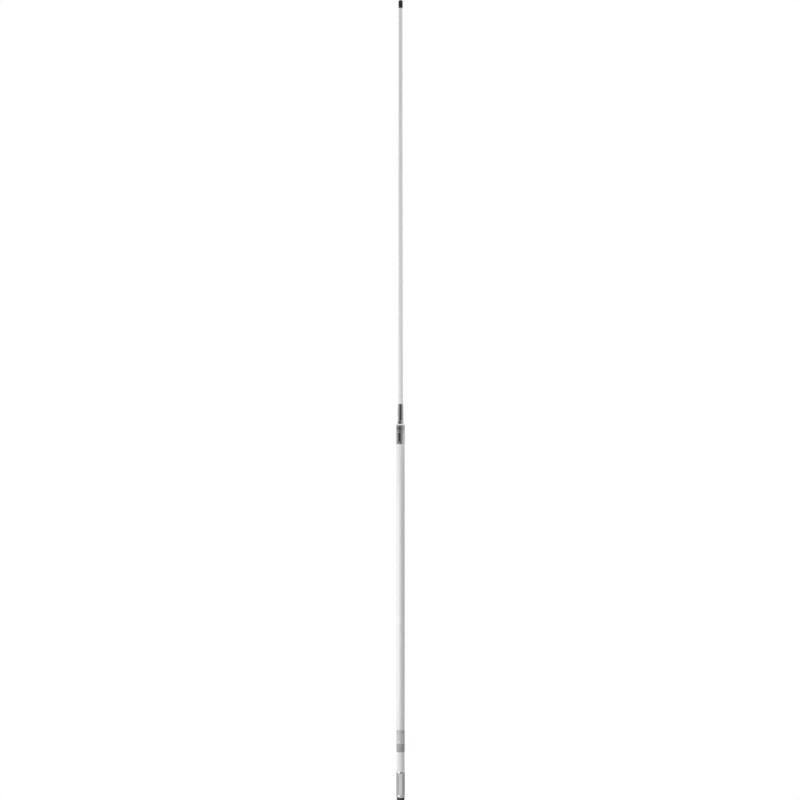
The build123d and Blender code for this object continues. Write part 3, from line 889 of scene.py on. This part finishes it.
# ---- Coupling nut ----
# Turned from brass bar and chrome-plated. It hangs loose on the whip ferrule's spigot, held by
# the plug's flange, and its straight knurl is for gripping by hand.
nut_low, nut_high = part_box("coupling_nut")
nut_foot, nut_top = nut_low.z / mm, nut_high.z / mm
nut_core, nut_crest, nut_flat = 13.6, 12.5, 0.5
nut_thread_low, nut_thread_high = nut_foot + 3.9, joint + 20.0
nut_crest_at = neck_crest_at + thread_pitch / 2
nut_seal_r, nut_seal_top = 14.9, joint + 2.8
chamber_r, chamber_low, chamber_high = 10.6, joint + 20.5, joint + 25.7
shoulder_low, shoulder_high, shoulder_width = joint + 26.5, joint + 30.0, 2.5
nut_neck_r, nut_lip_r, nut_bore_r = 11.4, 10.8, 8.15
knurl_low, knurl_high = joint + 6.0, joint + 24.0
knurl_middle = (knurl_low + knurl_high) / 2
knurl_teeth = 60
knurl_depth = 0.27
knurl_edge, knurl_run = 0.6, 0.5     # the grooves' edges, and the wall kept straight past them
nut_groove_r = ferrule_r - 0.55


def with_knurl(radius, height, angle):
    """Press straight vee grooves into the nut's outside, between two heights."""
    if radius < ferrule_r - 0.02 or not knurl_low < height < knurl_high:
        return radius
    spacing = math.tau / knurl_teeth
    off_groove = abs((angle + spacing / 2) % spacing - spacing / 2) * ferrule_r
    return radius - max(0.0, knurl_depth - off_groove)


coupling_nut = turned(
    "coupling_nut_shown",
    [
        (nut_core, nut_thread_low, 0),
        (nut_core, nut_seal_top, 0.1),
        (nut_seal_r, nut_seal_top, 0.2),
        (nut_seal_r, nut_foot, 0.2),
        (ferrule_r - rim_chamfer, nut_foot, 0.2),
        (ferrule_r, nut_foot + rim_chamfer, 0.25),
        (ferrule_r, knurl_low - knurl_edge, 0.1),
        (nut_groove_r, knurl_low - 0.5, 0.25),
        (nut_groove_r, knurl_low + 0.4, 0.25),
        (ferrule_r, knurl_low + knurl_edge, 0),
        (ferrule_r, knurl_low + knurl_edge + knurl_run, 0),
        (ferrule_r, knurl_middle, 0),
        (ferrule_r, knurl_high - knurl_edge - knurl_run, 0),
        (ferrule_r, knurl_high - knurl_edge, 0),
        (nut_groove_r, knurl_high - 0.4, 0.25),
        (nut_groove_r, knurl_high + 0.5, 0.25),
        (ferrule_r, knurl_high + knurl_edge, 0.1),
        (ferrule_r, shoulder_low, 0.6),
        (ferrule_r - shoulder_width, shoulder_high, 0.5),
        (nut_neck_r, shoulder_high, 0.4),
        (nut_neck_r, nut_top - 0.6, 0.2),
        (nut_lip_r, nut_top, 0.2),
        (nut_bore_r, nut_top, 0.2),
        (nut_bore_r, chamber_high, 0.2),
        (chamber_r, chamber_high, 0.2),
        (chamber_r, chamber_low, 0.2),
        (nut_core, chamber_low, 0.2),
        (nut_core, nut_thread_high, 0),
    ],
    ease=0.15,
    shape=with_knurl,
    thread=(
        nut_core, nut_crest, thread_pitch, nut_thread_low, nut_thread_high, nut_crest_at, nut_flat
    ),
    round_by=6 * knurl_teeth,
)
dress(coupling_nut, chrome_plate)
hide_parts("coupling_nut")
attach(coupling_nut, "coupling_nut")


# ---- Tip cap ----
# A moulded black rubber cap, stretched over the whip's tip to keep water out. It has a domed
# top and a thicker bead at the mouth.
cap_low, cap_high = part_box("tip_cap")
cap_bottom, cap_top = cap_low.z / mm, cap_high.z / mm
cap_r = cap_high.x / mm
cap_side_r = cap_r - 0.3
bead_top = cap_bottom + 3.0
rubber_black, rubber_pale = (0.009, 0.009, 0.01), (0.02, 0.02, 0.021)
tip_rubber = moulded(
    "tip_rubber", rubber_black, rubber_pale, 0.42, 0.25 * mm, 0.012 * mm, specular=0.35
)
dome_r = 6.6
dome = [
    (cap_side_r - dome_r * (1 - math.cos(a)), cap_top - dome_r * (1 - math.sin(a)), 0)
    for a in (math.radians(degrees) for degrees in range(0, 90, 6))
]
tip_cap = turned(
    "tip_cap_shown",
    [
        (0, whip_tip),
        (whip_tip_r, whip_tip, 0.3),
        (whip_tip_r + 0.06, cap_bottom, 0.2),
        (cap_r, cap_bottom, 0.5),
        (cap_r, bead_top, 0.5),
        (cap_side_r, bead_top + 0.6, 0.5),
        *dome,
        (0, cap_top),
    ],
)
dress(tip_cap, tip_rubber)
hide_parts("tip_cap")
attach(tip_cap, "whip")


# ---- Studio ----
# A small white floor in a surround that is bright at the sides and dim in front and behind, so
# that the bright metal shows dark lines. A softbox on the left lights the mast, and a painted
# card round the foot, which the camera doesn't see, is what the base ferrule reflects.
def disc(name, radius, height):
    """A flat round sheet, lying level."""
    mesh = bmesh.new()
    bmesh.ops.create_circle(mesh, cap_ends=True, radius=radius, segments=96)
    bmesh.ops.translate(mesh, verts=mesh.verts, vec=(0, 0, height))
    return finished_mesh(name, mesh)


floor = disc("floor", 1.1, 0.0)
floor_white = Finish("floor_white", (0.12, 0.12, 0.12), 0.9, specular=0.0)
floor_white.set("Emission Color", (1.0, 1.0, 1.0, 1.0))
floor_white.set("Emission Strength", 0.93)
dress(floor, floor_white)


def greys_round(nodes, links, share_of_turn, levels):
    """Grey levels by how many degrees to the right of the camera's side a direction is."""
    stops = [((degrees + 180) / 360, (level, level, level, 1.0)) for degrees, level in levels]
    return ramp_of(nodes, links, share_of_turn, stops).outputs["Color"]


foot_card = disc("foot_card", 1.05, 0.4 * mm)
card_paint = Finish("card_paint", (0.02, 0.02, 0.02), 0.9, specular=0.0)
quarter_turned = card_paint.maths("ADD", angle_round(card_paint), math.pi / 2 + math.pi)
share_of_card = card_paint.maths("FRACT", card_paint.maths("DIVIDE", quarter_turned, math.tau))
card_levels = [
    (-180, 0.35),
    (-150, 0.5),
    (-125, 0.75),
    (-90, 0.7),
    (-57, 0.66),
    (-29, 0.97),
    (-3, 0.95),
    (24, 0.84),
    (51, 0.58),
    (83, 0.32),
    (125, 0.45),
    (150, 0.8),
    (180, 0.35),
]
painted = greys_round(card_paint.nodes, card_paint.links, share_of_card, card_levels)
card_paint.join(painted, card_paint.shader.inputs["Emission Color"])
card_paint.set("Emission Strength", 1.0)
dress(foot_card, card_paint)
foot_card.visible_camera = False
foot_card.visible_shadow = False
# Neither the floor nor the card throws its light up the mast.
floor.visible_diffuse = False
foot_card.visible_diffuse = False

world = bpy.data.worlds.new("studio")
bpy.context.scene.world = world
world.use_nodes = True
air, joins = world.node_tree.nodes, world.node_tree.links
heading = air.new("ShaderNodeSeparateXYZ")
joins.new(air.new("ShaderNodeTexCoord").outputs["Generated"], heading.inputs["Vector"])


def air_maths(operation, first, second):
    """A sum, product or other operation on values or numbers, for the surround."""
    node = air.new("ShaderNodeMath")
    node.operation = operation
    for given, node_input in zip((first, second), node.inputs):
        if isinstance(given, (int, float)):
            node_input.default_value = given
        else:
            joins.new(given, node_input)
    return node.outputs["Value"]


def rising(from_low, from_high, high):
    """Rise from 0 to high as a direction climbs from one slope to another."""
    node = air.new("ShaderNodeMapRange")
    joins.new(heading.outputs["Z"], node.inputs["Value"])
    node.inputs["From Min"].default_value = from_low
    node.inputs["From Max"].default_value = from_high
    node.inputs["To Max"].default_value = high
    return node.outputs["Result"]


# The dark band in front leans: it hangs further right higher up.
lean = rising(0.005, 0.04, 26 / 360)
toward_front = air_maths("MULTIPLY", heading.outputs["Y"], -1.0)
turn_round = air_maths("ARCTAN2", heading.outputs["X"], toward_front)
share_round = air_maths("ADD", air_maths("DIVIDE", turn_round, math.tau), 0.5)
leaned = air_maths("FRACT", air_maths("SUBTRACT", share_round, lean), 0.0)
air_levels = [
    (-180, 0.3),
    (-155, 0.4),
    (-128, 0.85),
    (-90, 0.48),
    (-57, 0.2),
    (-38, 0.04),
    (-20, 0.035),
    (-3, 0.15),
    (24, 0.32),
    (51, 0.52),
    (83, 0.76),
    (120, 0.95),
    (150, 0.6),
    (180, 0.3),
]
surround = greys_round(air, joins, leaned, air_levels)


def air_blend(share, under, over_level):
    """Lay a plain grey over the surround by a share from 0 to 1."""
    mix = air.new("ShaderNodeMix")
    mix.data_type = "RGBA"
    mix.inputs[7].default_value = (over_level, over_level, over_level, 1.0)
    joins.new(share, mix.inputs["Factor"])
    joins.new(under, mix.inputs[6])
    return mix.outputs[2]


ceiling_level, backdrop_level = 1.2, 1.0
with_ceiling = air_blend(rising(0.12, 0.4, 1.0), surround, ceiling_level)
seen_straight = air.new("ShaderNodeLightPath").outputs["Is Camera Ray"]
with_backdrop = air_blend(seen_straight, with_ceiling, backdrop_level)
joins.new(with_backdrop, air["Background"].inputs["Color"])

# A dark grey sheet curved round the mast's right keeps some of the ceiling's light off that side.
sheet_mesh = bmesh.new()
sheet_r, sheet_bottom, sheet_top = 0.34, 0.03, 1.46
sheet_start, sheet_end, sheet_steps = 16, 102, 12
rows = []
for step in range(sheet_steps + 1):
    degrees = sheet_start + (sheet_end - sheet_start) * step / sheet_steps
    from_front = math.radians(degrees)
    x, y = sheet_r * math.sin(from_front), -sheet_r * math.cos(from_front)
    rows.append([sheet_mesh.verts.new((x, y, z)) for z in (sheet_bottom, sheet_top)])
for near, far in zip(rows, rows[1:]):
    sheet_mesh.faces.new((near[0], far[0], far[1], near[1]))
black_sheet = finished_mesh("black_sheet", sheet_mesh)
sheet_black = Finish("sheet_black", (0.36, 0.36, 0.36), 0.9, specular=0.1)
dress(black_sheet, sheet_black)
black_sheet.visible_camera = False
black_sheet.visible_glossy = False

# The upper softbox is hidden from reflections, so that it doesn't glare in the bright fittings.
lamp_x, lamp_y, lamp_width = -1.15, -0.95, 2.0
for name, bottom, top, energy in (
    ("softbox", 0.02, 1.08, 10.4),
    ("upper_softbox", 1.08, 1.42, 3.8),
):
    lamp_data = bpy.data.lights.new(name, "AREA")
    lamp_data.shape = "RECTANGLE"
    lamp_data.size = lamp_width
    lamp_data.size_y = top - bottom
    lamp_data.energy = energy
    lamp = bpy.data.objects.new(name, lamp_data)
    lamp.location = (lamp_x, lamp_y, (bottom + top) / 2)
    lamp.rotation_euler = Vector((-lamp_x, -lamp_y, 0)).to_track_quat("-Z", "Y").to_euler()
    lamp.visible_glossy = name == "softbox"
    bpy.context.scene.collection.objects.link(lamp)

# The camera is level with the antenna's middle, and its whole height just fills the view.
total = cad_high.z - cad_low.z
camera_shift = -2.2 * mm
camera_data = bpy.data.cameras.new("camera")
camera_data.lens = 100.0
camera_data.sensor_width = 36.0
camera = bpy.data.objects.new("camera", camera_data)
back_off = total / 2 * camera_data.lens / (camera_data.sensor_width / 2)
camera.location = (camera_shift, -back_off, cad_low.z + total / 2)
camera.rotation_euler = (math.radians(90), 0, 0)
camera_data.clip_end = 200.0
bpy.context.scene.collection.objects.link(camera)
bpy.context.scene.camera = camera
bpy.context.scene.view_settings.view_transform = "Standard"
